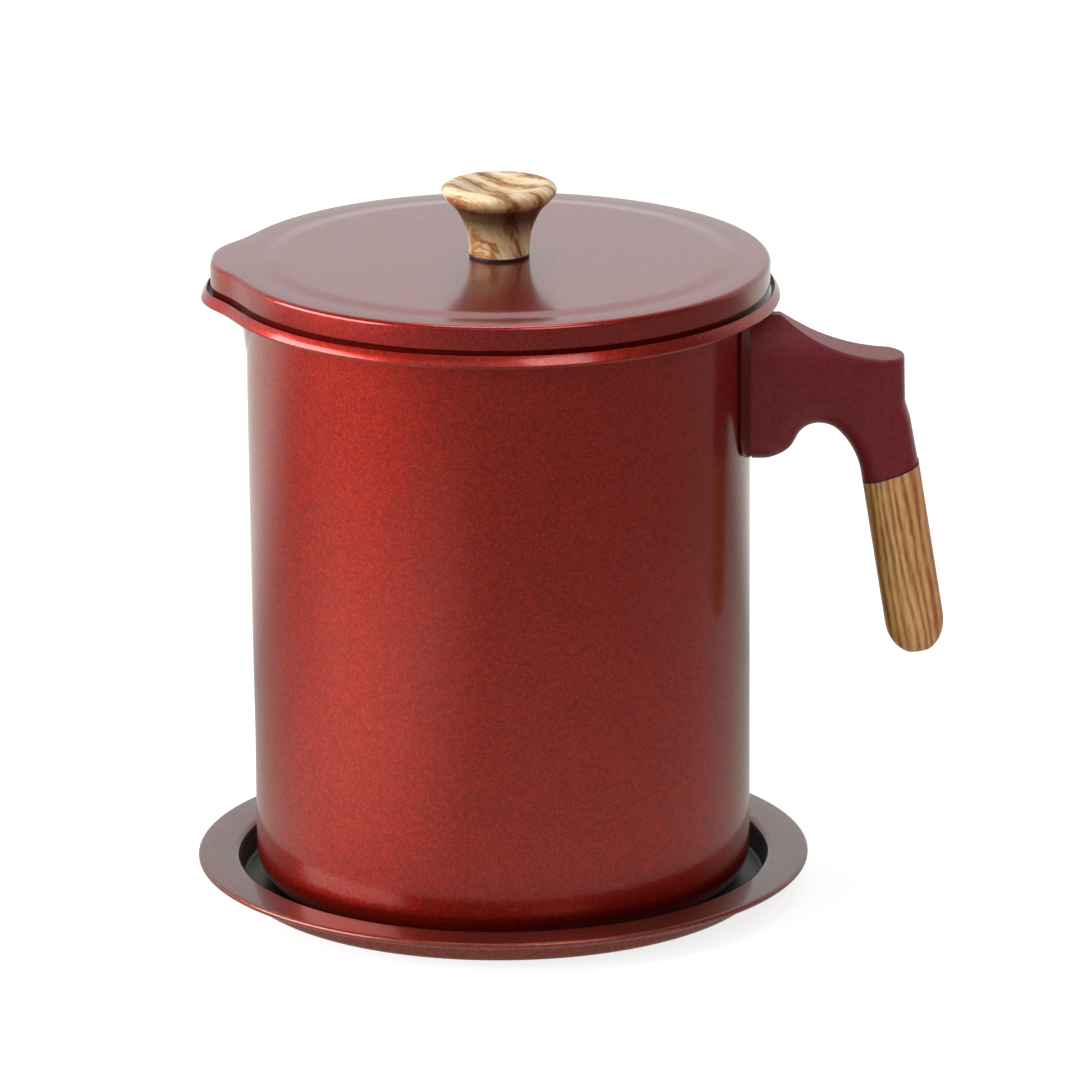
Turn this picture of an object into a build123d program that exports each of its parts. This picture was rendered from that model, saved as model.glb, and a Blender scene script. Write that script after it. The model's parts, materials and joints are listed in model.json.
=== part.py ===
"""Bacon grease container: drip tray, drawn can with a rolled pouring rim, strainer and lid."""

from build123d import *
from math import cos, radians, sin
import os

os.makedirs("parts", exist_ok=True)

# Driving dimensions, in millimetres. +Z is up, the handle is on +X and the beak on -X.
# The origin is the centre of the tray's underside.
sheet = 0.7  # painted steel of the tray, can and lid
tray_radius = 70.0
tray_flange_height = 7.1  # middle of the flange's sheet
can_radius = 56.6
can_foot = sheet  # the can stands on the tray's floor
gutter_height = 139.2  # upper face of the gutter inside the rim
rim_height = 141.8
mouth_radius = 61.9  # inner wall of the rim
rim_roll = 1.5  # how far the rolled edge stands out from that wall
beak_reach = 65.9  # inner wall at the tip of the beak
lid_top = 147.3
knob_top = 165.3
handle_thickness = 14.0
grip_lean = 9.0  # degrees that the grip leans outwards, going down
fit = 0.05  # gap around pieces that are pressed or slid together
screw_play = 0.2  # gap around a screw where it passes through a hole
hair = 0.01  # far smaller than any feature, for picking edges by their height

# ---------------------------------------------------------------- drip tray
tray_floor_radius = 60.4
tray_wall_radius = 60.9  # where the wall meets the flange
tray_bend = 1.3  # the bends at the foot and under the flange, along the middle of the sheet
tray_bead = 0.75  # radius of the rolled outer edge

with BuildPart() as drip_tray:
    with BuildSketch(Plane.XZ):
        with BuildLine() as tray_section:
            FilletPolyline(
                (0, sheet / 2),
                (tray_floor_radius, sheet / 2),
                (tray_wall_radius, tray_flange_height),
                (tray_radius - tray_bead, tray_flange_height),
                radius=tray_bend,
            )
        trace(tray_section.line, line_width=sheet)
        with Locations((tray_radius - tray_bead, tray_flange_height - tray_bead + sheet / 2)):
            Circle(tray_bead)
    revolve(axis=Axis.Z)


# ---------------------------------------------------------------- outlines that the can and lid share
beak_tip_width = 16.0
beak_root_width = 48.0
beak_root_reach = 56.0
beak_tip_rounding = 8.0
beak_root_rounding = 25.0


def mouth_outline(grow, height):
    """The round mouth with its beak, on the level of height, moved outwards by grow."""
    with BuildSketch(Plane.XY.offset(height)) as outline:
        Circle(mouth_radius)
        with BuildLine():
            Polyline(
                (-beak_reach, beak_tip_width / 2),
                (-beak_root_reach, beak_root_width / 2),
                (-beak_root_reach, -beak_root_width / 2),
                (-beak_reach, -beak_tip_width / 2),
                close=True,
            )
        make_face()
        corners = outline.vertices().filter_by(lambda corner: corner.X < 0).sort_by(Axis.X)
        fillet(corners[:2], beak_tip_rounding)
        roots = outline.vertices().filter_by(lambda corner: abs(corner.Y) > beak_tip_width).sort_by(Axis.X)
        fillet(roots[:2], beak_root_rounding)
        offset(amount=grow)
    return outline.sketch


# ---------------------------------------------------------------- can
can_corner = 4.5
foot_ring_radius = 46.0  # inside this the base is pressed up
base_rise = 1.0
base_bend = 1.0
roll_height = 2.5
roll_rounding = 0.7  # both outer corners of the rolled edge
throat_rounding = 0.6  # its inner corner
shoulder_radius = 1.2  # where the wall turns out into the gutter
gutter_rounding = 1.0  # the outer corner under the gutter
groove_levels = (  # the pouring groove: a height, and how far its ridge stands out from the wall there
    (110.7, -0.8),
    (120.7, 0.2),
    (gutter_height, 1.9),
)
groove_half_width = 21.0
groove_fall = 5.6  # how far each flank of the V falls back over that half width
groove_root = 18.0  # how far inside its ridge the V ends, well within the can
groove_ridge_rounding = 4.0


def can_form(inset, top):
    """The can as a solid, with every wall moved inwards by inset."""
    floor = can_foot + inset
    with BuildPart() as form:
        with BuildSketch(Plane.XZ):
            with BuildLine():
                FilletPolyline(
                    (0, floor + base_rise),
                    (foot_ring_radius - base_rise, floor + base_rise),
                    (foot_ring_radius, floor),
                    (can_radius - inset, floor),
                    (can_radius - inset, top),
                    radius=[base_bend, base_bend, can_corner - inset],
                )
                Polyline((can_radius - inset, top), (0, top), (0, floor + base_rise))
            make_face()
        revolve(axis=Axis.Z)
    return form.part


def groove_form(inset):
    """The V that is pressed out of the wall below the beak, moved inwards by inset."""
    with BuildPart() as form:
        for height, ridge in groove_levels:
            with BuildSketch(Plane.XY.offset(height)) as section:
                with BuildLine():
                    reach = can_radius + ridge - inset
                    Polyline(
                        (-reach, 0),
                        (-reach + groove_fall, groove_half_width),
                        (-reach + groove_root, groove_half_width),
                        (-reach + groove_root, -groove_half_width),
                        (-reach + groove_fall, -groove_half_width),
                        close=True,
                    )
                make_face()
                fillet(section.vertices().sort_by(Axis.X)[0], groove_ridge_rounding)
        loft(ruled=True)
    return form.part


def edges_at(part, height):
    """The edges of a part that lie flat at that height, shortest first."""
    level = part.edges().filter_by_position(Axis.Z, height - hair, height + hair)
    return level.sort_by(SortBy.LENGTH)


with BuildPart() as cavity:
    add(can_form(sheet, gutter_height + sheet))
    extrude(mouth_outline(0, gutter_height), amount=rim_height)
    fillet(edges_at(cavity, gutter_height)[-1], shoulder_radius + sheet)
    add(groove_form(sheet))

with BuildPart() as pot_body:
    add(can_form(0, gutter_height))
    extrude(mouth_outline(sheet, gutter_height - sheet), amount=roll_height)
    fillet(edges_at(pot_body, gutter_height - sheet), gutter_rounding)
    add(groove_form(0))
    extrude(mouth_outline(rim_roll, rim_height - roll_height), amount=roll_height)
    fillet(edges_at(pot_body, rim_height - roll_height)[-1], roll_rounding)
    fillet(edges_at(pot_body, rim_height), roll_rounding)
    add(cavity.part, mode=Mode.SUBTRACT)
    fillet(edges_at(pot_body, rim_height)[0], throat_rounding)

# ---------------------------------------------------------------- strainer
steel = 0.5  # stainless sheet
mesh_thickness = 0.4
collar_radius = 55.2
collar_bottom = 118.0
flange_radius = 61.4
notch_width = 26.0  # the flange is cut back at the beak, so that fat can be poured
notch_depth = 5.2
tab_width = 18.0
tab_reach = 57.7
tab_top = 145.4
tab_rounding = 4.5
collar_bend = 1.5
mesh_bottom = 98.5
mesh_foot_radius = 48.0
mesh_shoulder_rounding = 4.0
mesh_foot_rounding = 9.0
band_height = 7.5
band_drop = 0.5  # the band ends this far above the collar's lower edge

flange_middle = gutter_height + steel / 2
wall_middle = collar_radius - steel / 2
with BuildPart() as strainer_collar:
    with BuildSketch(Plane.XZ):
        with BuildLine() as collar_section:
            FilletPolyline(
                (flange_radius, flange_middle),
                (wall_middle, flange_middle),
                (wall_middle, collar_bottom),
                radius=collar_bend,
            )
        trace(collar_section.line, line_width=steel)
    revolve(axis=Axis.Z)
    with BuildSketch(Plane.XY.offset(gutter_height)):
        with Locations((-flange_radius, 0)):
            Rectangle(2 * notch_depth, notch_width)
    extrude(amount=steel, mode=Mode.SUBTRACT)
    for side in (tab_reach, -tab_reach - steel):
        with BuildSketch(Plane.XZ.offset(side)) as tab:
            with Locations((0, (gutter_height + tab_top) / 2)):
                Rectangle(tab_width, tab_top - gutter_height)
            fillet(tab.vertices().group_by(Axis.Y)[-1], tab_rounding)
        extrude(amount=steel)

mesh_radius = collar_radius - steel - fit - mesh_thickness / 2
with BuildPart() as strainer_mesh:
    with BuildSketch(Plane.XZ):
        with BuildLine() as mesh_section:
            FilletPolyline(
                (mesh_radius, collar_bottom + band_height),
                (mesh_radius, collar_bottom - 2 * band_drop),
                (mesh_foot_radius, mesh_bottom),
                (0, mesh_bottom),
                radius=[mesh_shoulder_rounding, mesh_foot_rounding],
            )
        trace(mesh_section.line, line_width=mesh_thickness)
    revolve(axis=Axis.Z)

band_radius = mesh_radius - mesh_thickness / 2 - fit
with BuildPart() as mesh_band:
    with BuildSketch(Plane.XY.offset(collar_bottom + band_drop)):
        Circle(band_radius)
        Circle(band_radius - steel, mode=Mode.SUBTRACT)
    extrude(amount=band_height)

# ---------------------------------------------------------------- lid
lid_gap = 0.7  # between the skirt and the wall of the rim
lid_bottom = gutter_height + steel  # the skirt stands on the strainer's flange
lid_edge_rounding = 1.1
plateau_radius = 52.5
plateau_rise = 0.5
plateau_slope = 50.0
knob_seat = lid_top + plateau_rise
lid_screw_radius = 2.0
screw_hole_radius = lid_screw_radius + screw_play


def lid_form(inset):
    """The lid as a solid, with every wall moved inwards by inset."""
    with BuildPart() as form:
        extrude(mouth_outline(-lid_gap - inset, lid_bottom), amount=lid_top - lid_bottom - inset)
        fillet(form.faces().sort_by(Axis.Z)[-1].edges(), lid_edge_rounding - inset)
        with BuildSketch(Plane.XY.offset(lid_top - inset)):
            Circle(plateau_radius)
        extrude(amount=plateau_rise, taper=plateau_slope)
    return form.part


with BuildPart() as lid_shell:
    add(lid_form(0))
    add(lid_form(sheet), mode=Mode.SUBTRACT)
    with BuildSketch(Plane.XY.offset(lid_top)):
        Circle(screw_hole_radius)
    extrude(amount=2 * sheet, both=True, mode=Mode.SUBTRACT)

# ---------------------------------------------------------------- knob and what holds it
collar_thickness = 0.6
knob_foot = knob_seat + collar_thickness
knob_foot_radius = 6.8
knob_waist = (7.5, 154.1)  # the outline of the knob, as radius and height
knob_flare = (9.4, 158.3)
knob_bell = (11.6, 160.7)
knob_widest = (13.0, 163.4)
knob_shoulder = (12.4, 164.6)
knob_lip = (10.6, knob_top)
dish_slope = (7.0, 164.0)
dish_bottom = (0, 162.6)
insert_radius = 3.4
insert_depth = 9.0
lid_screw_length = 9.5
upright = (0, 1)
inwards = (-1, 0)

with BuildPart() as knob_collar:
    with BuildSketch(Plane.XY.offset(knob_seat)):
        Circle(knob_foot_radius)
        Circle(screw_hole_radius, mode=Mode.SUBTRACT)
    extrude(amount=collar_thickness)

with BuildPart() as lid_knob:
    with BuildSketch(Plane.XZ):
        with BuildLine():
            Line((0, knob_foot), (knob_foot_radius, knob_foot))
            Spline(
                (knob_foot_radius, knob_foot),
                knob_waist,
                knob_flare,
                knob_bell,
                knob_widest,
                tangents=[upright, upright],
            )
            Spline(knob_widest, knob_shoulder, knob_lip, tangents=[upright, inwards])
            Spline(knob_lip, dish_slope, dish_bottom, tangents=[inwards, inwards])
            Line(dish_bottom, (0, knob_foot))
        make_face()
    revolve(axis=Axis.Z)
    with BuildSketch(Plane.XY.offset(knob_foot)):
        Circle(insert_radius + fit)
    extrude(amount=insert_depth, mode=Mode.SUBTRACT)

with BuildPart() as knob_insert:
    with BuildSketch(Plane.XY.offset(knob_foot)):
        Circle(insert_radius)
        Circle(lid_screw_radius + fit, mode=Mode.SUBTRACT)
    extrude(amount=insert_depth)

knob_washer_radius = 6.0
knob_washer_thickness = 0.8
knob_washer_bottom = knob_seat - sheet - knob_washer_thickness
with BuildPart() as knob_washer:
    with BuildSketch(Plane.XY.offset(knob_washer_bottom)):
        Circle(knob_washer_radius)
        Circle(screw_hole_radius, mode=Mode.SUBTRACT)
    extrude(amount=knob_washer_thickness)


def pan_screw(seat, radius, length):
    """A pan-head cross-recess screw: its head lies behind the seat plane, its shank along the normal."""
    head_radius = 1.85 * radius
    head_height = 1.2 * radius
    along = Axis(seat.origin, seat.z_dir)
    with BuildPart() as screw:
        with BuildSketch(seat):
            Circle(radius)
        extrude(amount=length)
        chamfer(screw.edges().sort_by(along)[-1], radius / 4)
        with BuildSketch(seat.offset(-head_height)):
            Circle(head_radius)
        extrude(amount=head_height)
        fillet(screw.edges().sort_by(along)[0], head_height / 2.5)
        with BuildSketch(seat.offset(-head_height)):
            Rectangle(head_radius, radius / 3)
            Rectangle(radius / 3, head_radius)
        extrude(amount=head_height / 2, mode=Mode.SUBTRACT)
    return screw


knob_screw = pan_screw(Plane.XY.offset(knob_washer_bottom), lid_screw_radius, lid_screw_length)

# ---------------------------------------------------------------- bracket on the can
bracket_sheet = 0.6
bracket_width = 33.0
bracket_bottom = 104.3
bracket_top = 136.6
bracket_corner = 4.5
bracket_edge_rounding = 0.4
bracket_radius = can_radius + bracket_sheet
tongue_wall = 1.0
tongue_width = 9.2
tongue_bottom = 114.0
tongue_top = 124.0
tongue_reach = 70.5
handle_screw_x = 62.5
handle_screw_radius = 2.0
nut_width = 7.0
nut_height = 2.6

with BuildPart() as handle_bracket:
    with BuildSketch(Plane.YZ):
        with Locations((0, (bracket_bottom + bracket_top) / 2)):
            RectangleRounded(bracket_width, bracket_top - bracket_bottom, bracket_corner)
    extrude(amount=2 * can_radius)
    with BuildSketch(Plane.XY):
        Circle(bracket_radius)
        Circle(can_radius, mode=Mode.SUBTRACT)
    extrude(amount=rim_height, mode=Mode.INTERSECT)
    fillet(handle_bracket.faces().sort_by(SortBy.AREA)[-1].edges(), bracket_edge_rounding)
    with BuildSketch(Plane.YZ.offset(can_radius)):
        with Locations((0, (tongue_bottom + tongue_top) / 2)):
            Rectangle(tongue_width, tongue_top - tongue_bottom)
            offset(amount=-tongue_wall, mode=Mode.SUBTRACT)
    extrude(amount=tongue_reach - can_radius)
    with BuildSketch(Plane.XY.offset(tongue_bottom)):
        with Locations((handle_screw_x, 0)):
            Circle(handle_screw_radius + screw_play)
    extrude(amount=tongue_wall, mode=Mode.SUBTRACT)

with BuildPart() as bracket_nut:
    with BuildSketch(Plane.XY.offset(tongue_bottom + tongue_wall)):
        with Locations((handle_screw_x, 0)):
            Rectangle(nut_width, nut_width)
            Circle(handle_screw_radius + fit, mode=Mode.SUBTRACT)
    extrude(amount=nut_height)

# ---------------------------------------------------------------- handle arm
arm_top = 134.4
arm_bottom = 100.9
arm_inner_x = 50.0  # inside the bracket's curve, and cut back to it
ramp_top = (63.6, arm_top)  # the thumb rest falls from the ridge in a hollow curve
ramp_middle = (71.2, 129.3)
ramp_slope = (0.78, -0.62)
rest_hollow = (79.6, 126.2)
rest_slope = (1, -0.02)
head_corner = (91.5, 124.9)  # outer end of the thumb rest
step_top = (91.7, 113.9)  # the outer face steps out below the head
step_bottom = (92.9, 109.9)
step_rounding = 3.0
crown_height = 109.5
leg_inner_x = 83.0
ridge_foot = (7.1, 119.5)  # half the arm's width and the height where its sides start to curve in
ridge_end = (1.5, arm_top)
arch_start = 60.0
arch_rise = 62.0  # degrees that the arch turns up from the heel, and down again past the crown
arch_turn = 45.0
heel_radius = 7.5
rise_length = 1.6
crown_radius_in = 5.5
crown_radius_out = 6.5
fall_radius = 17.5
under_rounding = 6.0  # the underside and the leg are round in the hand
edge_rounding = 0.8
rest_start = 66.0  # the thumb rest's edge starts here
handle_washer_thickness = 0.8
handle_screw_length = 13.0
leg_below_seam = 6.0

grip_width = 13.3
grip_length = 43.6
grip_dome = 9.4  # the lowest part of the grip closes as half an ellipse
dome_steps = 6
dome_turn = 72.0  # degrees round that half ellipse, up to the small flat at its end
grip_top = (88.6, 97.0)  # on the grip's axis, at the seam
seam_plane = Plane(origin=(grip_top[0], 0, grip_top[1] + 0.8), z_dir=(-0.34, 0, 1))
tang_width = 8.0
tang_depth = 9.0
tang_length = 25.0
tang_corner = 2.0
tang_end_gap = 0.3
arm_insert_radius = 2.6
arm_insert_length = 8.0
grip_screw_radius = 1.5
grip_screw_seat = 33.0  # down the grip's axis from the seam
grip_screw_length = 15.0
grip_recess_radius = 3.2
head_recess_radius = 4.0
head_recess_top = 107.0
head_gap = 0.2  # around the washer in its recess
arm_bore_radius = handle_screw_radius + screw_play

lean = (sin(radians(grip_lean)), -cos(radians(grip_lean)))
grip_plane = Plane(
    origin=(grip_top[0], 0, grip_top[1]),
    x_dir=(-lean[1], 0, lean[0]),
    z_dir=(lean[0], 0, lean[1]),
)
leg_outer = (
    grip_top[0] - lean[1] * grip_width / 2 + lean[0] * leg_below_seam,
    grip_top[1] + lean[0] * grip_width / 2 + lean[1] * leg_below_seam,
)

with BuildPart() as handle_arm:
    with BuildSketch(Plane.XZ.offset(-handle_thickness / 2)) as side:
        with BuildLine():
            Polyline((arch_start, arm_bottom), (arm_inner_x, arm_bottom), (arm_inner_x, arm_top), ramp_top)
            Spline(ramp_top, ramp_middle, rest_hollow, head_corner, tangents=[ramp_slope, rest_slope])
            heel = JernArc((arch_start, arm_bottom), (1, 0), heel_radius, arch_rise)
            rise = PolarLine(heel @ 1, rise_length, direction=heel % 1)
            crown_in = JernArc(rise @ 1, rise % 1, crown_radius_in, -arch_rise)
            crown_out = JernArc(crown_in @ 1, crown_in % 1, crown_radius_out, -arch_turn)
            fall = JernArc(crown_out @ 1, crown_out % 1, fall_radius, arch_turn + grip_lean - 90)
            leg = PolarLine(fall @ 1, leg_below_seam, direction=lean)
            Polyline(leg @ 1, leg_outer, step_bottom, step_top, head_corner)
        make_face()
        outer = side.vertices().filter_by(lambda corner: corner.X > step_top[0] - 1)
        fillet(outer.sort_by(Axis.Y)[1:3], step_rounding)
    extrude(amount=handle_thickness)
    rims = handle_arm.edges().filter_by(lambda edge: abs(edge.center().Y) > handle_thickness / 2 - fit)
    under_rims = rims.filter_by(lambda edge: edge.center().X < leg_inner_x and edge.center().Z < crown_height)
    outer_rims = rims.filter_by(
        lambda edge: edge.center().X > step_top[0] - 0.5 and grip_top[1] < edge.center().Z < head_corner[1] - 3
    )
    fillet(under_rims + outer_rims, under_rounding)

    with BuildSketch(Plane.YZ):
        with BuildLine():
            Polyline((0, 0), (ridge_foot[0], 0), ridge_foot)
            TangentArc(ridge_foot, ridge_end, tangent=upright)
            Polyline(ridge_end, (ridge_end[0], rim_height), (0, rim_height))
            mirror(about=Plane.YZ)
        make_face()
    extrude(amount=2 * arm_inner_x, mode=Mode.INTERSECT)
    rest_rims = handle_arm.edges().filter_by(
        lambda edge: edge.center().Z > head_corner[1] - 1 and edge.center().X > rest_start
    )
    fillet(rest_rims, edge_rounding)

    with BuildSketch(Plane.XY):
        Circle(bracket_radius)
    extrude(amount=rim_height, mode=Mode.SUBTRACT)
    split(bisect_by=seam_plane, keep=Keep.TOP)
    with BuildSketch(grip_plane.offset(-leg_below_seam)):
        RectangleRounded(tang_width, tang_depth, tang_corner)
    extrude(amount=leg_below_seam + tang_length)

    with BuildSketch(Plane.YZ.offset(can_radius)):
        with Locations((0, (tongue_bottom + tongue_top) / 2)):
            Rectangle(tongue_width + 2 * fit, tongue_top - tongue_bottom + 2 * fit)
    extrude(amount=tongue_reach - can_radius + fit, mode=Mode.SUBTRACT)
    with BuildSketch(Plane.XY.offset(head_recess_top)):
        with Locations((handle_screw_x, 0)):
            Circle(arm_bore_radius)
    extrude(amount=tongue_bottom - head_recess_top, mode=Mode.SUBTRACT)
    with BuildSketch(Plane.XY.offset(head_recess_top)):
        with Locations((handle_screw_x, 0)):
            Circle(head_recess_radius)
    extrude(amount=-2 * head_recess_radius, mode=Mode.SUBTRACT)
    with BuildSketch(grip_plane.offset(tang_length)):
        Circle(arm_insert_radius + fit)
    extrude(amount=-arm_insert_length, mode=Mode.SUBTRACT)

with BuildPart() as handle_washer:
    with BuildSketch(Plane.XY.offset(head_recess_top)):
        with Locations((handle_screw_x, 0)):
            Circle(head_recess_radius - head_gap)
            Circle(arm_bore_radius, mode=Mode.SUBTRACT)
    extrude(amount=-handle_washer_thickness)

handle_screw = pan_screw(
    Plane((handle_screw_x, 0, head_recess_top - handle_washer_thickness)),
    handle_screw_radius,
    handle_screw_length,
)

# ---------------------------------------------------------------- grip
with BuildPart() as arm_insert:
    with BuildSketch(grip_plane.offset(tang_length)):
        Circle(arm_insert_radius)
        Circle(grip_screw_radius + fit, mode=Mode.SUBTRACT)
    extrude(amount=-arm_insert_length)

with BuildPart() as handle_grip:
    for step in range(dome_steps):
        turn = radians(dome_turn * step / (dome_steps - 1))
        with BuildSketch(grip_plane.offset(grip_length - grip_dome + grip_dome * sin(turn))):
            RectangleRounded(
                grip_width * cos(turn), handle_thickness * cos(turn), under_rounding * cos(turn)
            )
    loft()
    with BuildSketch(grip_plane.offset(-leg_below_seam)):
        RectangleRounded(grip_width, handle_thickness, under_rounding)
    extrude(amount=leg_below_seam + grip_length - grip_dome)
    split(bisect_by=seam_plane, keep=Keep.BOTTOM)
    with BuildSketch(grip_plane.offset(-leg_below_seam)):
        RectangleRounded(tang_width + 2 * fit, tang_depth + 2 * fit, tang_corner + fit)
    extrude(amount=leg_below_seam + tang_length + tang_end_gap, mode=Mode.SUBTRACT)
    with BuildSketch(grip_plane.offset(tang_length)):
        Circle(grip_screw_radius + screw_play)
    extrude(amount=grip_length, mode=Mode.SUBTRACT)
    with BuildSketch(grip_plane.offset(grip_screw_seat)):
        Circle(grip_recess_radius)
    extrude(amount=grip_length, mode=Mode.SUBTRACT)

grip_screw = pan_screw(
    Plane(
        origin=grip_plane.offset(grip_screw_seat).origin,
        x_dir=grip_plane.x_dir,
        z_dir=-grip_plane.z_dir,
    ),
    grip_screw_radius,
    grip_screw_length,
)

# ---------------------------------------------------------------- files
nodes = {
    "drip_tray": drip_tray,
    "pot_body": pot_body,
    "handle_bracket": handle_bracket,
    "bracket_nut": bracket_nut,
    "handle_arm": handle_arm,
    "handle_washer": handle_washer,
    "handle_screw": handle_screw,
    "arm_insert": arm_insert,
    "handle_grip": handle_grip,
    "grip_screw": grip_screw,
    "strainer_collar": strainer_collar,
    "strainer_mesh": strainer_mesh,
    "mesh_band": mesh_band,
    "lid_shell": lid_shell,
    "knob_collar": knob_collar,
    "lid_knob": lid_knob,
    "knob_insert": knob_insert,
    "knob_washer": knob_washer,
    "knob_screw": knob_screw,
}
for name, node in nodes.items():
    node.part.label = name
    export_step(node.part, f"parts/{name}.step")
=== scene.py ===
"""Bacon grease container: finishes, turned sheet-metal forms, a plain studio and a camera."""

import json
from math import atan2, cos, exp, hypot, pi, radians, sin, tan

import bmesh
import bpy
from mathutils import Matrix, Vector

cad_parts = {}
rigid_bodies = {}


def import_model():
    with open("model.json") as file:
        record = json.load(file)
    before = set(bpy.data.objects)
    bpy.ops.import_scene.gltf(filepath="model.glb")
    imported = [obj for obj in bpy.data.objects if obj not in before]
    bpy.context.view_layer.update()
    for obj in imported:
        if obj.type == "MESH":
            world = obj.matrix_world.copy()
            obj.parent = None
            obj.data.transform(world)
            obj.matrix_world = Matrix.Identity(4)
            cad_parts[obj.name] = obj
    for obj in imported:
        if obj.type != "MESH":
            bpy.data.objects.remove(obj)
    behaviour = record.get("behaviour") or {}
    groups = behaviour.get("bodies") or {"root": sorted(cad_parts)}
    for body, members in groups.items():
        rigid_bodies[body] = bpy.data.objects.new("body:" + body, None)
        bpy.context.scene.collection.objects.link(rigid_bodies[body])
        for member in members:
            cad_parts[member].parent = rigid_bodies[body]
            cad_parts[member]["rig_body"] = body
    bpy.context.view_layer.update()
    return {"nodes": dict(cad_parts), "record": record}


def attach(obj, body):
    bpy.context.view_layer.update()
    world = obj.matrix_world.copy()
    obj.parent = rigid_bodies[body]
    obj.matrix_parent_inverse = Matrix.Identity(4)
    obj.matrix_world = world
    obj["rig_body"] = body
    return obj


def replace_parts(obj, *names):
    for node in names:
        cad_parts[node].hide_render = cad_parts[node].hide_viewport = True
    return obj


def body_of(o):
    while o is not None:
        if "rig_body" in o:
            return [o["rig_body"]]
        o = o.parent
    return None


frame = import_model()
MM = 0.001
FULL_TURN = 2 * pi

# Sizes in millimetres. Most are the solids' own. The rim and the knob's top lie about 1 mm lower.
SHEET = 0.7
CAN_RADIUS = 56.6
MOUTH_RADIUS = 61.9
RIM_INSIDE = 62.1
BEAK_REACH = 65.9
FLANK_NORMAL = (16, 9.9)  # the way a flank of the beak faces: along the beak and across it
FLANK_OFFSET = 1133.6
BEAK_FLANK = atan2(FLANK_NORMAL[1], FLANK_NORMAL[0])  # from here on the mouth is round
FOOT_ROUNDING = 8.5
GUTTER_HEIGHT = 139.2
RIM_HEIGHT = 140.8
GROOVE_POINT = 124  # height of the V's lower end
# Heights on the wall and how far it bellies out there
SWELL = ((36, 0.0), (60, 0.3), (82, 0.5), (101, 0.65), (120, 0.75), (126, 0.7), (139, 0.3))
LID_TOP = 147.3
KNOB_FOOT = 148.4
KNOB_TOP = 164.5
GRIP_TOP = Vector((88.6, 0, 97.0))
GRIP_LEAN = radians(9)
# The slanting joint between arm and grip
SEAM_POINT = Vector((88.6, 0, 97.8))
SEAM_NORMAL = Vector((-0.34, 0, 1)).normalized()


# ---------------------------------------------------------------- meshes
def profile_wire(points):
    """A wire in the XZ plane. Its points are (radius, height) or (radius, height, rounding) in mm."""
    wire = bmesh.new()
    verts = [wire.verts.new((point[0] * MM, 0, point[1] * MM)) for point in points]
    for pair in zip(verts, verts[1:]):
        wire.edges.new(pair)
    corners = [(vert, point[2]) for vert, point in zip(verts, points) if len(point) > 2]
    for vert, rounding in corners:
        sides = [edge.other_vert(vert).co - vert.co for edge in vert.link_edges]
        setback = rounding * MM / tan(sides[0].angle(sides[1]) / 2)
        bmesh.ops.bevel(
            wire,
            geom=[vert],
            offset=setback,
            affect="VERTICES",
            segments=7,
            profile=0.5,
            material=-1,
        )
    return wire


def flowing(points, steps):
    """Points on a smooth curve through the given ones, closer together by that many steps."""
    ends = [points[0], *points, points[-1]]
    made = []
    for a, b, c, d in zip(ends, ends[1:], ends[2:], ends[3:]):
        for step in range(steps):
            t = step / steps
            inner = (2 - 5 * t**2 + 3 * t**3, t + 4 * t**2 - 3 * t**3)
            weights = (-t + 2 * t**2 - t**3, *inner, t**3 - t**2)
            axes = zip(a, b, c, d)
            made.append(tuple(sum(w * v for w, v in zip(weights, values)) / 2 for values in axes))
    return [*made, points[-1]]


def turned(points, steps):
    """The closed skin that a wire sweeps round the can's axis."""
    skin = profile_wire(points)
    bmesh.ops.spin(
        skin,
        geom=skin.verts[:] + skin.edges[:],
        axis=(0, 0, 1),
        cent=(0, 0, 0),
        steps=steps,
        angle=FULL_TURN,
        use_merge=True,
    )
    bmesh.ops.remove_doubles(skin, verts=skin.verts[:], dist=0.01 * MM)
    bmesh.ops.recalc_face_normals(skin, faces=skin.faces[:])
    return skin


def settle(mesh, sharp):
    """Gives each corner the mean normal, by area, of the faces it runs smoothly into.

    Flat faces stay flat that way.
    """
    around = [[] for vert in mesh.vertices]
    for face in mesh.polygons:
        for corner in face.vertices:
            around[corner].append((face.normal.copy(), face.area))
    least = cos(radians(sharp))
    normals = []
    for face in mesh.polygons:
        for corner in face.vertices:
            here = face.normal
            near = [other * area for other, area in around[corner] if other.dot(here) > least]
            normals.append(sum(near, Vector()).normalized())
    mesh.normals_split_custom_set(normals)


def piece(name, skin, body, slot, *materials, sharp=40, flats=False):
    """A named object of a bmesh that rides on a body. Edges of over sharp degrees stay sharp."""
    mesh = bpy.data.meshes.new(name)
    skin.to_mesh(mesh)
    skin.free()
    mesh.shade_smooth()
    mesh.set_sharp_from_angle(angle=radians(sharp))
    if flats:
        settle(mesh, sharp)
    made = bpy.data.objects.new(name, mesh)
    bpy.context.scene.collection.objects.link(made)
    for material in materials:
        mesh.materials.append(material)
    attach(made, body)
    return made


def merged(node_name):
    """A copy of a solid's skin with its loose triangles joined."""
    skin = bmesh.new()
    skin.from_mesh(frame["nodes"][node_name].data)
    bmesh.ops.remove_doubles(skin, verts=skin.verts[:], dist=0.003 * MM)
    return skin


def soft_least(a, b, width):
    """The smaller of two values, rounded over where they are nearly equal."""
    blend = max(width - abs(a - b), 0) / width
    return min(a, b) - blend * blend * width / 4


def soft_most(a, b, width):
    return -soft_least(-a, -b, width)


def mouth_pull(angle):
    """How far the beak stands out from the round mouth, in mm, at an angle from the beak's tip."""
    if angle > BEAK_FLANK:
        return 0.0
    tip = BEAK_REACH / cos(angle)
    flank = FLANK_OFFSET / (FLANK_NORMAL[0] * cos(angle) + FLANK_NORMAL[1] * sin(angle))
    return soft_most(MOUTH_RADIUS, soft_least(tip, flank, 3.2), 1.2) - MOUTH_RADIUS


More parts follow.
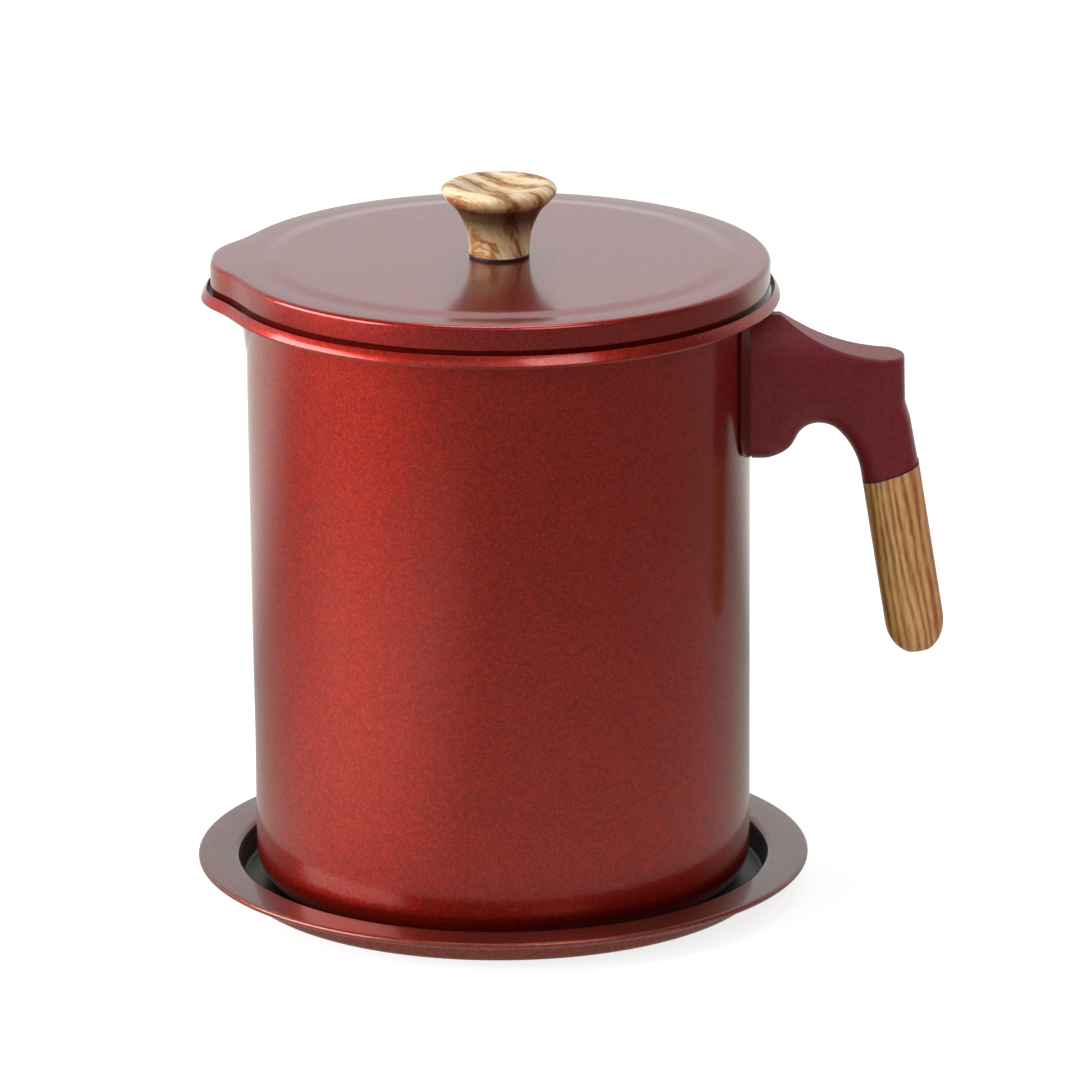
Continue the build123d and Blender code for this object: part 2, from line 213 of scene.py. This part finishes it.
def swell(angle, height):
    """How far the drawn wall bellies out below the beak, in mm."""
    for (low, least), (high, most) in zip(SWELL, SWELL[1:]):
        if low <= height <= high:
            belly = least + (most - least) * (height - low) / (high - low)
            return belly * exp(-((angle / 0.3) ** 2))
    return 0.0


def groove_pull(angle, height):
    """How far the V that leads fat to the beak is pressed out of the wall, in mm."""
    belly = swell(angle, height)
    border = (height - GROOVE_POINT) * 0.021  # the angle at which a flank of the V meets the wall
    ridge = 0.75 + (height - GROOVE_POINT) * 0.13
    reach = (CAN_RADIUS + ridge) / (cos(angle) + 0.17 * sin(angle)) - CAN_RADIUS
    inside = min(max((border - angle) / 0.035, 0), 1)
    return max(belly, belly + (reach - belly) * inside)


def pull_beak(skin, inner, outer, groove=False):
    """Draws the beak out of a turned skin, with a strength that grows between two radii."""
    for vert in skin.verts:
        radius = hypot(vert.co.x, vert.co.y) / MM
        height = vert.co.z / MM
        if radius < 20:  # too near the axis to be drawn anywhere
            continue
        angle = abs(atan2(vert.co.y, -vert.co.x))
        strength = min(max((radius - inner) / (outer - inner), 0), 1)
        push = strength * mouth_pull(angle) if height > GUTTER_HEIGHT - 3 else 0.0
        if groove:
            push = max(push, (1 - strength) * groove_pull(angle, height))
        vert.co.x *= 1 + push / radius
        vert.co.y *= 1 + push / radius


def line_inside(skin, top):
    """Gives the can's inner faces, up to a height, the second material."""
    for face in skin.faces:
        middle = face.calc_center_median()
        towards_axis = face.normal.x * middle.x + face.normal.y * middle.y < -1e-9
        reach = RIM_INSIDE + 0.2 + mouth_pull(abs(atan2(middle.y, -middle.x)))
        within = hypot(middle.x, middle.y) < reach * MM and 1.2 * MM < middle.z < top * MM
        if within and (towards_axis or face.normal.z > 0.5):
            face.material_index = 1


# ---------------------------------------------------------------- materials
def tone(code):
    """A colour from its sRGB hex code, turned to linear."""
    parts = [int(code[place : place + 2], 16) / 255 for place in (0, 2, 4)]
    linear = [
        part / 12.92 if part <= 0.04045 else ((part + 0.055) / 1.055) ** 2.4 for part in parts
    ]
    return (*linear, 1.0)


def put(tree, kind, inputs=None, stops=(), **settings):
    """Adds a node.

    inputs gives its sockets a value or another node's socket, settings gives its properties, and
    stops gives a colour ramp its places and hex codes.
    """
    made = tree.nodes.new("ShaderNode" + kind)
    for name, value in settings.items():
        setattr(made, name, value)
    if stops:
        elements = made.color_ramp.elements
        while len(elements) < len(stops):
            elements.new(0.5)
        for element, (place, code) in zip(elements, stops):
            element.position = place
            element.color = tone(code)
    join(tree, made, inputs or {})
    return made


def join(tree, node, inputs):
    """Gives a node's sockets a value, or a link from another node's socket."""
    for name, value in inputs.items():
        socket = node.inputs[name]
        if isinstance(value, bpy.types.NodeSocket):
            tree.links.new(value, socket)
        else:
            socket.default_value = value


def blank(name):
    """A new material's tree with its shader, and the object's own coordinates in metres."""
    material = bpy.data.materials.new(name)
    material.use_nodes = True
    tree = material.node_tree
    place = put(tree, "TexCoord").outputs["Object"]
    return material, tree, tree.nodes["Principled BSDF"], place


def per_mm(size):
    """The texture scale that gives features of that size in mm."""
    return 1 / (size * MM)


def lacquer(name, clear, glance, flakes):
    """Candy red metallic lacquer, baked on steel: fine aluminium flake under a clear coat."""
    material, tree, shader, place = blank(name)
    flake = put(tree, "TexVoronoi", {"Vector": place, "Scale": per_mm(0.42)})
    cloud = put(tree, "TexNoise", {"Vector": place, "Scale": per_mm(12), "Detail": 1.0})
    glint = put(tree, "SeparateColor", {"Color": flake.outputs["Color"]}).outputs["Red"]
    inputs = {0: cloud.outputs["Fac"], 1: 0.25, 2: glint}
    mixed = put(tree, "Math", inputs, operation="MULTIPLY_ADD")
    spread = put(tree, "MapRange", {"Value": mixed.outputs[0], "From Min": 0.0, "From Max": 1.25})
    places = (0.0, 0.5, 1.0)
    colour = put(tree, "ValToRGB", {"Fac": spread.outputs[0]}, stops=tuple(zip(places, flakes)))
    peel = put(tree, "TexNoise", {"Vector": place, "Scale": per_mm(1.1), "Detail": 1.0})
    grain = put(tree, "Bump", {"Height": glint, "Strength": 0.08, "Distance": 0.05 * MM})
    peel = peel.outputs["Fac"]
    skin = put(tree, "Bump", {"Height": peel, "Strength": 0.05, "Distance": 0.1 * MM})
    join(
        tree,
        shader,
        {
            "Base Color": colour.outputs["Color"],
            "Metallic": 0.85,
            "Roughness": 0.42,
            "Specular Tint": (glance, 0.7, 0.7, 1),
            "Coat Weight": clear,
            "Coat Roughness": 0.14,
            "Coat IOR": 1.5,
            "Normal": grain.outputs[0],
            "Coat Normal": skin.outputs[0],
        },
    )
    return material


def finish(
    name, colours, grain_mm, roughness, metallic=0.0, bump=0.1, stretch=(1, 1, 1), gloss=0.5
):
    """A plain finish: fine noise between the given colours, with matching roughness and relief."""
    material, tree, shader, place = blank(name)
    run = put(tree, "Mapping", {"Vector": place, "Scale": stretch})
    texture = {"Vector": run.outputs[0], "Scale": per_mm(grain_mm), "Detail": 4.0}
    grain = put(tree, "TexNoise", texture)
    level = grain.outputs["Fac"]
    least, most = roughness * 0.85, roughness * 1.15
    rough = put(tree, "MapRange", {"Value": level, "To Min": least, "To Max": most})
    relief = put(tree, "Bump", {"Height": level, "Strength": bump, "Distance": 0.05 * MM})
    colour = put(tree, "ValToRGB", {"Fac": level}, stops=tuple(zip((0.3, 0.7), colours)))
    join(
        tree,
        shader,
        {
            "Base Color": colour.outputs["Color"],
            "Roughness": rough.outputs[0],
            "Normal": relief.outputs[0],
            "Metallic": metallic,
            "Specular IOR Level": gloss,
        },
    )
    return material


def wood(name, grain_axes, ring_mm, wander, contrast, ramp, axis_tint_and_painted_shade):
    """Oiled beech: growth rings that wander, streaks and pores, all tinted along an axis; on the knob
    that tint is painted shade.
    """
    material, tree, shader, place = blank(name)
    along = put(tree, "Mapping", {"Vector": place, **grain_axes}, vector_type="TEXTURE").outputs[0]
    rings = put(
        tree,
        "TexWave",
        {
            "Vector": along,
            "Scale": 0.314 * per_mm(ring_mm),
            "Distortion": wander,
            "Detail": 2.0,
            "Detail Scale": 0.5,
            "Detail Roughness": 0.6,
        },
    ).outputs["Fac"]
    ring_share, *shares = contrast
    level = put(tree, "Math", {0: rings, 1: ring_share}, operation="MULTIPLY").outputs[0]
    # Real pores are under 0.1 mm wide, so they are drawn 0.35 mm wide to show at all
    for size, share in zip((0.35, 0.9, 3.0), shares):
        fibre = put(tree, "TexNoise", {"Vector": along, "Scale": per_mm(size), "Detail": 2.0})
        inputs = {0: fibre.outputs["Fac"], 1: share, 2: level}
        level = put(tree, "Math", inputs, operation="MULTIPLY_ADD").outputs[0]
    least = 0.3 * sum(shares)
    most = 0.7 * sum(shares) + ring_share
    level = put(tree, "MapRange", {"Value": level, "From Min": least, "From Max": most}).outputs[0]
    # A tint along one axis multiplies the grain; the knob's tint is painted shade
    axis, start, end, tints = axis_tint_and_painted_shade
    side = put(tree, "SeparateXYZ", {"Vector": along if axis == "X" else place}).outputs[axis]
    side = put(tree, "MapRange", {"Value": side, "From Min": start * MM, "From Max": end * MM})
    grained = put(tree, "ValToRGB", {"Fac": level}, stops=ramp).outputs["Color"]
    tint_and_painted_shade_colour = put(tree, "ValToRGB", {"Fac": side.outputs[0]}, stops=tints).outputs["Color"]
    layers = {0: 1.0, 6: grained, 7: tint_and_painted_shade_colour}
    colour = put(tree, "Mix", layers, data_type="RGBA", blend_type="MULTIPLY").outputs[2]
    relief = put(tree, "Bump", {"Height": level, "Strength": 0.35, "Distance": 0.15 * MM})
    join(
        tree,
        shader,
        {
            "Base Color": colour,
            "Roughness": 0.5,
            "Normal": relief.outputs[0],
            "Coat Weight": 0.15,
            "Coat Roughness": 0.3,
        },
    )
    return material


# Baked lacquer over aluminium flake: a deep red that glows where light falls square on it and turns
# milky and pale towards the edges. Real flake is under 0.1 mm, so it is drawn 0.42 mm wide to show.
red = lacquer("red_metallic_lacquer", 0.87, 0.3, ("89150b", "a31d0f", "bf2a15"))
# The lid's and the bracket's coats are a little thicker, so they mirror more and look greyer. The
# bracket's red is also browner than the can's: painted shade from the arm beside it
lid_red = lacquer("thick_lid_lacquer", 1.0, 0.26, ("82150f", "991c14", "ae281b"))
bracket_red_with_painted_shade = lacquer("thick_bracket_lacquer_with_painted_shade", 1.0, 0.2, ("7b2720", "8a2e25", "98372c"))
# The tray's is thinner and browner
tray_red = lacquer("thin_tray_lacquer", 0.75, 0.1, ("7a3229", "8d3c31", "a0493a"))
# Phenolic resin out of a mould: an even dark maroon with a soft, broad shine
moulded_red = finish("moulded_phenolic", ("742026", "822a31"), 1.2, 0.36, bump=0.05, gloss=0.25)
# Painted shade: a dull dark brown on the bracket plate's two end faces, so that their edge stays dark
painted_shade_edge = finish("painted_shade_on_plate_ends", ("35120f", "421815"), 0.8, 0.6, gloss=0.1)
# Sprayed non-stick lining: charcoal, with a faint orange-peel that keeps its shine low
# In the drip tray's dish the same charcoal is painted shade, for the gap round the can's foot
dark_lining_and_painted_shade = finish("non_stick_lining_and_painted_shade", ("2b2a2a", "393737"), 0.8, 0.45, bump=0.15)
# Silicone: black and nearly without shine
silicone = finish("black_silicone", ("0c0c0c", "161616"), 0.5, 0.6)
# Stainless sheet, brushed round: grey with fine level lines that stretch each highlight
level_lines = (0.05, 0.05, 1)
brushed = finish(
    "brushed_stainless", ("8f8f8e", "b4b4b2"), 0.25, 0.3, metallic=1.0, stretch=level_lines
)
# Drawn stainless wire: bright and even
wire_steel = finish("drawn_stainless_wire", ("8c8c8c", "b8b8b8"), 0.4, 0.28, metallic=1.0)
# Zinc plate: a pale, slightly blue grey that is a little uneven
zinc = finish("zinc_plated_steel", ("9aa0a6", "b9bdc2"), 0.6, 0.3, metallic=1.0)
# Brass off the lathe: warm yellow, bright
brass = finish("turned_brass", ("a8823e", "c9a257"), 0.4, 0.3, metallic=1.0)
# Oiled beech cut along its fibres: close brown lines down the grip on warm straw, greener on the
# left side
grip_wood = wood(
    "grip_beech",
    {"Location": GRIP_TOP * MM, "Rotation": (0, -GRIP_LEAN, 0), "Scale": (1, 2, 7)},
    1.7,
    14.0,
    (0.7, 0.8, 0.9, 0.4),
    ((0.0, "6a4225"), (0.28, "ae7844"), (0.55, "d9a76c"), (1.0, "f3d7a4")),
    ("X", -7, 7, ((0.0, "e6edbe"), (0.5, "fff2dc"), (1.0, "ffd9c0"))),
)
# Oiled beech from a burr: wide slanting streaks on cream, with painted shade that makes the waist
# under the flare dark and olive
knob_wood = wood(
    "knob_beech",
    {
        "Location": (0, 0, KNOB_FOOT * MM),
        "Rotation": (0, radians(-30), radians(55)),
        "Scale": (1, 5, 5),
    },
    5.5,
    9.0,
    (0.6, 0.9, 1.2, 0.6),
    ((0.1, "6a3a20"), (0.34, "b27a4a"), (0.5, "e2c296"), (0.85, "faecd0")),
    # Painted shade: a dark olive band round the waist under the flare, graded by height
    (
        "Z",
        KNOB_FOOT,
        KNOB_TOP,
        (
            (0.0, "ffffff"),
            (0.15, "efecdc"),
            (0.55, "5a553b"),
            (0.72, "544f35"),
            (0.84, "ece6d2"),
            (1.0, "ffffff"),
        ),
    ),
)

FINISHES = {
    "drip_tray": tray_red,
    "pot_body": red,
    "handle_bracket": bracket_red_with_painted_shade,
    "lid_shell": lid_red,
    "handle_arm": moulded_red,
    "handle_grip": grip_wood,
    "lid_knob": knob_wood,
    "knob_collar": silicone,
    "strainer_collar": brushed,
    "strainer_mesh": wire_steel,
    "mesh_band": brushed,
    "bracket_nut": zinc,
    "handle_screw": zinc,
    "handle_washer": zinc,
    "grip_screw": zinc,
    "knob_washer": zinc,
    "knob_screw": zinc,
    "arm_insert": brass,
    "knob_insert": brass,
}
for node_name, material in FINISHES.items():
    mesh = frame["nodes"][node_name].data
    mesh.materials.clear()
    mesh.materials.append(material)

# ---------------------------------------------------------------- drip tray
tray = turned(
    [
        (0, 0.7),
        (60.05, 0.7, 0.95),
        (60.5, 7.45, 1.6),
        (69.99, 7.45, 0.74),
        (69.99, 5.95, 0.74),
        (68.5, 5.95, 0.4),
        (68.5, 6.75),
        (61.25, 6.75, 0.9),
        (60.8, 0, 1.65),
        (0, 0),
    ],
    256,
)
# The dish's inside gets the dark lining: painted shade for the gap round the can's foot
for face in tray.faces:  # the dish's inside is dark
    middle = face.calc_center_median()
    if hypot(middle.x, middle.y) < 60.4 * MM and middle.z > 0.5 * MM:
        face.material_index = 1
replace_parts(piece("tray_dish", tray, "tray", "red_enamel", tray_red, dark_lining_and_painted_shade), "drip_tray")

# ---------------------------------------------------------------- can
wall_steps = [(CAN_RADIUS, 36 + 6 * step) for step in range(12)]
groove_steps = [(CAN_RADIUS, 108 + 1.5 * step) for step in range(20)]
outer_steps = wall_steps + groove_steps
inner_steps = [(CAN_RADIUS - SHEET, height) for radius, height in reversed(outer_steps)]
can = turned(
    [(0, 1.7), (45, 1.7, 1), (46, 0.7, 1), (CAN_RADIUS, 0.7, FOOT_ROUNDING)]
    + outer_steps
    + [
        (CAN_RADIUS, 137.8),
        (62.5, 137.8, 0.3),
        (62.5, 138.2),
        (63.4, 138.2, 0.5),
        (63.4, 138.8, 0.2),
        (62.97, 139.7, 0.08),
        (62.25, RIM_HEIGHT, 0.1),
        (RIM_INSIDE, RIM_HEIGHT, 0.05),
        (RIM_INSIDE, GUTTER_HEIGHT),
        (CAN_RADIUS - SHEET, GUTTER_HEIGHT, 1.9),
    ]
    + inner_steps
    + [(CAN_RADIUS - SHEET, 1.4, FOOT_ROUNDING - SHEET), (46, 1.4, 1), (45, 2.4, 1), (0, 2.4)],
    360,
)
pull_beak(can, CAN_RADIUS + 1, MOUTH_RADIUS, groove=True)
line_inside(can, GUTTER_HEIGHT + 0.4)
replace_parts(piece("can_shell", can, "pot", "red_enamel", red, dark_lining_and_painted_shade), "pot_body")

# ---------------------------------------------------------------- lid
lid = turned(
    [
        (2.3, 147.7),
        (50.0, 147.7, 24),
        (54.2, LID_TOP, 24),
        (61.2, LID_TOP, 1.1),
        (61.2, 141.9, 0.3),
        (60.8, 141.2),
        (60.8, 139.7),
        (60.5, 139.7),
        (60.5, 146.6, 0.4),
        (52.0, 146.6),
        (51.2, 147.1),
        (2.3, 147.1),
        (2.3, 147.7),
    ],
    360,
)
pull_beak(lid, 54.2, 60.5)
for face in lid.faces:  # the underside is dark
    if face.normal.z < -0.5 and face.calc_center_median().z > 146 * MM:
        face.material_index = 1
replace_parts(piece("lid_plate", lid, "lid", "red_enamel", lid_red, dark_lining_and_painted_shade), "lid_shell")

# ---------------------------------------------------------------- knob
knob_waist = [(6.8, KNOB_FOOT), (6.95, 151.0), (7.5, 154.1), (9.4, 158.3), (11.6, 160.7)]
knob_lip = [(12.7, 162.0), (13.0, 163.1), (12.4, 164.0), (10.6, KNOB_TOP)]
knob_dish = [(7.0, 163.4), (3.5, 162.4), (0, 162.1)]
knob_outline = flowing(knob_waist + knob_lip + knob_dish, 5)
knob = turned([(3.5, 157.5), (3.5, KNOB_FOOT + 0.05), *knob_outline], 128)
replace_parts(piece("turned_knob", knob, "lid", "knob_wood", knob_wood), "lid_knob")

# ---------------------------------------------------------------- strainer's cloth
WIRE_PITCH = 1.6  # a finer cloth would blur away, so it is drawn this coarse
WIRE_RADIUS = 0.15
WEAVE = 0.09  # how far each wire rises and falls as it crosses the others

bowl = profile_wire([(0, 98.5), (48, 98.5, 9), (54.4, 117, 4), (54.4, 125.2)])
bowl_line = sorted(((vert.co.x, vert.co.z) for vert in bowl.verts), key=sum)
bowl.free()
bowl_runs = [0.0]
for (x0, z0), (x1, z1) in zip(bowl_line, bowl_line[1:]):
    bowl_runs.append(bowl_runs[-1] + hypot(x1 - x0, z1 - z0))


def on_bowl(x, y, lift):
    """Where a point of the flat cloth lies once it is pressed into the bowl, in metres."""
    run = hypot(x, y)
    index = next((i for i, far in enumerate(bowl_runs) if far > run), len(bowl_runs) - 1)
    (x0, z0), (x1, z1) = bowl_line[index - 1], bowl_line[index]
    share = (run - bowl_runs[index - 1]) / (bowl_runs[index] - bowl_runs[index - 1])
    slope = Vector((x1 - x0, z1 - z0)).normalized()
    radius = x0 + (x1 - x0) * share - slope.y * lift
    height = z0 + (z1 - z0) * share + slope.x * lift
    return (radius * x / run, radius * y / run, height) if run else (0, 0, height)


cloth = bpy.data.curves.new("woven_cloth", "CURVE")
cloth.dimensions = "3D"
cloth.bevel_depth = WIRE_RADIUS * MM
cloth.bevel_resolution = 0
pitch = WIRE_PITCH * MM
reach = int(bowl_runs[-1] / pitch)
for across in range(-reach, reach + 1):
    half = int((bowl_runs[-1] ** 2 - (across * pitch) ** 2) ** 0.5 / pitch)
    for turn in (0, 1):
        path = []
        for step in range(-half, half + 1):
            lift = WEAVE * MM * (1 if (across + step + turn) % 2 else -1)
            place = (step * pitch, across * pitch) if turn else (across * pitch, step * pitch)
            path.append(on_bowl(*place, lift))
        if len(path) > 1:
            spline = cloth.splines.new("POLY")
            spline.points.add(len(path) - 1)
            for point, place in zip(spline.points, path):
                point.co = (*place, 1)
cloth.materials.append(wire_steel)
woven = bpy.data.objects.new("woven_cloth", cloth)
bpy.context.scene.collection.objects.link(woven)
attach(woven, "strainer")
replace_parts(woven, "strainer_mesh")

# ---------------------------------------------------------------- the other pieces, smooth
TONGUE_HALF = 6  # half the width of the bracket's tongue
TONGUE_FLARE = 7.5  # from here out the plate's lower edge keeps its own height
TONGUE_TOP = 105.2
TONGUE_DROP = 2
BLUNT_FROM = 36  # how far down the grip its end begins to shorten
BLUNTING = 0.1


def reshape(node_name, skin):
    """Makes the bracket's tongue longer behind the arm and the grip's end blunter."""
    if node_name == "handle_bracket":
        for side in (-TONGUE_FLARE, -TONGUE_HALF, TONGUE_HALF, TONGUE_FLARE):
            geometry = skin.verts[:] + skin.edges[:] + skin.faces[:]
            place = (0, side * MM, 0)
            bmesh.ops.bisect_plane(skin, geom=geometry, plane_co=place, plane_no=(0, 1, 0))
        for vert in skin.verts:
            if abs(vert.co.y) < (TONGUE_HALF + 0.05) * MM and vert.co.z < TONGUE_TOP * MM:
                vert.co.z -= TONGUE_DROP * MM
    if node_name == "handle_grip":
        down = Vector((sin(GRIP_LEAN), 0, -cos(GRIP_LEAN)))
        for vert in skin.verts:
            far = (vert.co - GRIP_TOP * MM).dot(down) - BLUNT_FROM * MM
            if far > 0:
                vert.co -= down * far * BLUNTING
    return skin


MODELLED = ("drip_tray", "pot_body", "lid_shell", "lid_knob", "strainer_mesh")
for entry in frame["record"]["subparts"]:
    node_name = entry["node"]
    if node_name not in MODELLED:
        made = piece(
            node_name + "_smooth",
            reshape(node_name, merged(node_name)),
            body_of(frame["nodes"][node_name])[0],
            entry["material_slot"],
            FINISHES[node_name],
            sharp=28,
            flats=True,
        )
        if node_name == "handle_bracket":
            made.data.materials.append(painted_shade_edge)
            # The plate's two end faces get the painted shade
            for face in made.data.polygons:  # the plate's two end faces
                if abs(face.center.y) > 15.5 * MM and abs(face.normal.y) > 0.55:
                    face.material_index = 1
        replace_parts(made, node_name)

# The glue line between arm and grip: a thin slice of the grip's top, a hair wider than the grip
GLUE_DEPTH = 0.3
GLUE_PROUD = 0.03
slice_below = merged("handle_grip")
for offset, outer in ((0.0, True), (GLUE_DEPTH, False)):
    bmesh.ops.bisect_plane(
        slice_below,
        geom=slice_below.verts[:] + slice_below.edges[:] + slice_below.faces[:],
        plane_co=(SEAM_POINT - SEAM_NORMAL * offset) * MM,
        plane_no=SEAM_NORMAL,
        clear_outer=outer,
        clear_inner=not outer,
    )
for vert in slice_below.verts:
    outward = vert.co - (SEAM_POINT * MM)
    outward -= SEAM_NORMAL * outward.dot(SEAM_NORMAL)
    vert.co += outward.normalized() * GLUE_PROUD * MM
piece("glue_line", slice_below, "pot", "black_ring", silicone)

# ---------------------------------------------------------------- studio
WHITE = (1, 1, 1, 1)
WARM_WHITE = (1, 0.98, 0.88, 1)
ENOUGH = 1.6  # the floor's glow for the camera, half of which it shows


def mixed_by(tree, ray, otherwise, seen):
    """One value for a kind of ray, another for all others."""
    fac = put(tree, "LightPath").outputs[ray]
    return put(tree, "Mix", {0: fac, 2: otherwise, 3: seen}, data_type="FLOAT").outputs[0]


floor_mesh = bmesh.new()
bmesh.ops.create_circle(floor_mesh, cap_ends=True, segments=96, radius=6.0)
bmesh.ops.translate(floor_mesh, verts=floor_mesh.verts[:], vec=(0, 0, -0.1 * MM))
floor_data = bpy.data.meshes.new("studio_floor")
floor_mesh.to_mesh(floor_data)
floor_mesh.free()
studio_floor = bpy.data.objects.new("studio_floor", floor_data)
bpy.context.scene.collection.objects.link(studio_floor)

# Seamless white paper: the camera sees plain white with a soft shadow on it
paper = bpy.data.materials.new("white_paper_floor")
paper.use_nodes = True
tree = paper.node_tree
place = put(tree, "TexCoord").outputs["Object"]
far = put(tree, "VectorMath", {0: place}, operation="LENGTH").outputs["Value"]
# In the object's mirror images the floor is mid grey close by and darker farther out
span = {"Value": far, "From Min": 0.08, "From Max": 0.4, "To Min": 0.6, "To Max": 0.22}
near = put(tree, "MapRange", span)
# It turns white behind the object, from an edge that slants away on the right
depth = put(tree, "SeparateXYZ", {"Vector": place}).outputs["Y"]
across = put(tree, "SeparateXYZ", {"Vector": place}).outputs["X"]
rightward = put(tree, "Math", {0: across, 1: 0.0}, operation="MAXIMUM").outputs[0]
slant = {0: rightward, 1: -0.35, 2: depth}
slanted = put(tree, "Math", slant, operation="MULTIPLY_ADD").outputs[0]
span = {"Value": slanted, "From Min": 0.06, "From Max": 0.25, "To Max": 1.0}
behind = put(tree, "MapRange", span)
either = {0: near.outputs[0], 1: behind.outputs[0]}
mirrored = put(tree, "Math", either, operation="MAXIMUM").outputs[0]
# A lighter patch lies in front on the left, and ends half a metre out
span = {"Value": across, "From Min": -0.03, "From Max": -0.15, "To Max": 0.6}
leftward = put(tree, "MapRange", span)
before = put(tree, "MapRange", {"Value": depth, "From Min": 0.04, "From Max": -0.09})
both = {0: leftward.outputs[0], 1: before.outputs[0]}
leftward = put(tree, "Math", both, operation="MULTIPLY")
close = put(tree, "MapRange", {"Value": far, "From Min": 0.5, "From Max": 0.3})
layers = {0: leftward.outputs[0], 1: close.outputs[0], 2: mirrored}
patch = put(tree, "Math", layers, operation="MULTIPLY_ADD")
mirrored = put(tree, "Math", {0: patch.outputs[0], 1: 1.0}, operation="MINIMUM").outputs[0]
strength = mixed_by(tree, "Is Glossy Ray", 0.4, mirrored)
strength = mixed_by(tree, "Is Transmission Ray", strength, ENOUGH)
strength = mixed_by(tree, "Is Camera Ray", strength, ENOUGH)
glossy = put(tree, "LightPath").outputs["Is Glossy Ray"]
tints = {0: glossy, 6: WHITE, 7: WARM_WHITE}
warmth = put(tree, "Mix", tints, data_type="RGBA").outputs[2]
glow = put(tree, "Emission", {"Color": warmth, "Strength": strength})
matte = put(tree, "BsdfDiffuse", {"Color": (0.8, 0.8, 0.8, 1)})
glowing = mixed_by(tree, "Is Glossy Ray", 0.5, 0.9)
share = put(tree, "MixShader", {"Fac": glowing, 1: matte.outputs[0], 2: glow.outputs[0]})
join(tree, tree.nodes["Material Output"], {"Surface": share.outputs[0]})
floor_data.materials.append(paper)

# The room around: white for the camera, and in mirror images white behind the object and dim on the
# camera's side, with a soft bright band up in front that greys the tops of curved forms
world = bpy.data.worlds.new("studio_world")
bpy.context.scene.world = world
world.use_nodes = True
tree = world.node_tree
tree.nodes.clear()
direction = put(tree, "TexCoord").outputs["Generated"]
depth = put(tree, "SeparateXYZ", {"Vector": direction}).outputs["Y"]
span = {"Value": depth, "From Min": 0.1, "From Max": 0.7, "To Min": 0.12, "To Max": 1.0}
behind = put(tree, "MapRange", span)
rise = put(tree, "SeparateXYZ", {"Vector": direction}).outputs["Z"]
span = {"Value": depth, "From Min": -0.6, "From Max": -0.75, "To Max": 0.6}
facing = put(tree, "MapRange", span)
raised = put(tree, "MapRange", {"Value": rise, "From Min": 0.35, "From Max": 0.5})
layers = {0: facing.outputs[0], 1: raised.outputs[0], 2: behind.outputs[0]}
around = put(tree, "Math", layers, operation="MULTIPLY_ADD")
strength = mixed_by(tree, "Is Diffuse Ray", around.outputs[0], 0.25)
strength = mixed_by(tree, "Is Camera Ray", strength, 1.0)
backdrop = put(tree, "Background", {"Color": WHITE, "Strength": strength})
put(tree, "OutputWorld", {"Surface": backdrop.outputs[0]})


def softbox(name, place, aim, width, height, power):
    """A rectangular lamp at a place, in metres, facing a point."""
    lamp = bpy.data.lights.new(name, "AREA")
    lamp.shape = "RECTANGLE"
    lamp.size = width
    lamp.size_y = height
    lamp.energy = power
    made = bpy.data.objects.new(name, lamp)
    bpy.context.scene.collection.objects.link(made)
    facing = (Vector(aim) - Vector(place)).to_track_quat("-Z", "Y")
    made.matrix_world = Matrix.Translation(place) @ facing.to_matrix().to_4x4()
    return made


middle = (0, 0, 0.08)
softbox("key_left", (-1.17, -0.31, 0.44), middle, 1.3, 0.6, 21)
softbox("fill_front", (0.7, -1.3, 1.3), middle, 0.8, 0.8, 8)
softbox("top_light", (0.0, 0.1, 1.7), middle, 0.8, 0.6, 9)

# ---------------------------------------------------------------- camera
PITCH = radians(16.268)
PAN = radians(0.189)
ROLL = radians(-0.31)
TURN = radians(2.0)  # swings the camera round the can's axis
STAND = (0.0022, -2.0064, 0.6662)  # the camera's place before that swing, in metres
LENS_MM = 305.9
forward = Vector((sin(PAN) * cos(PITCH), cos(PAN) * cos(PITCH), -sin(PITCH)))
level = Vector((cos(PAN), -sin(PAN), 0))
upward = level.cross(forward)
right = level * cos(ROLL) + upward * sin(ROLL)
top = upward * cos(ROLL) - level * sin(ROLL)
pose = Matrix((right, top, -forward)).transposed().to_4x4()
pose.translation = STAND
camera_data = bpy.data.cameras.new("camera")
camera_data.lens = LENS_MM
camera_data.sensor_width = 36
camera_data.clip_end = 30
camera = bpy.data.objects.new("camera", camera_data)
bpy.context.scene.collection.objects.link(camera)
camera.matrix_world = Matrix.Rotation(TURN, 4, "Z") @ pose
bpy.context.scene.camera = camera

bpy.context.scene.view_settings.view_transform = "Standard"
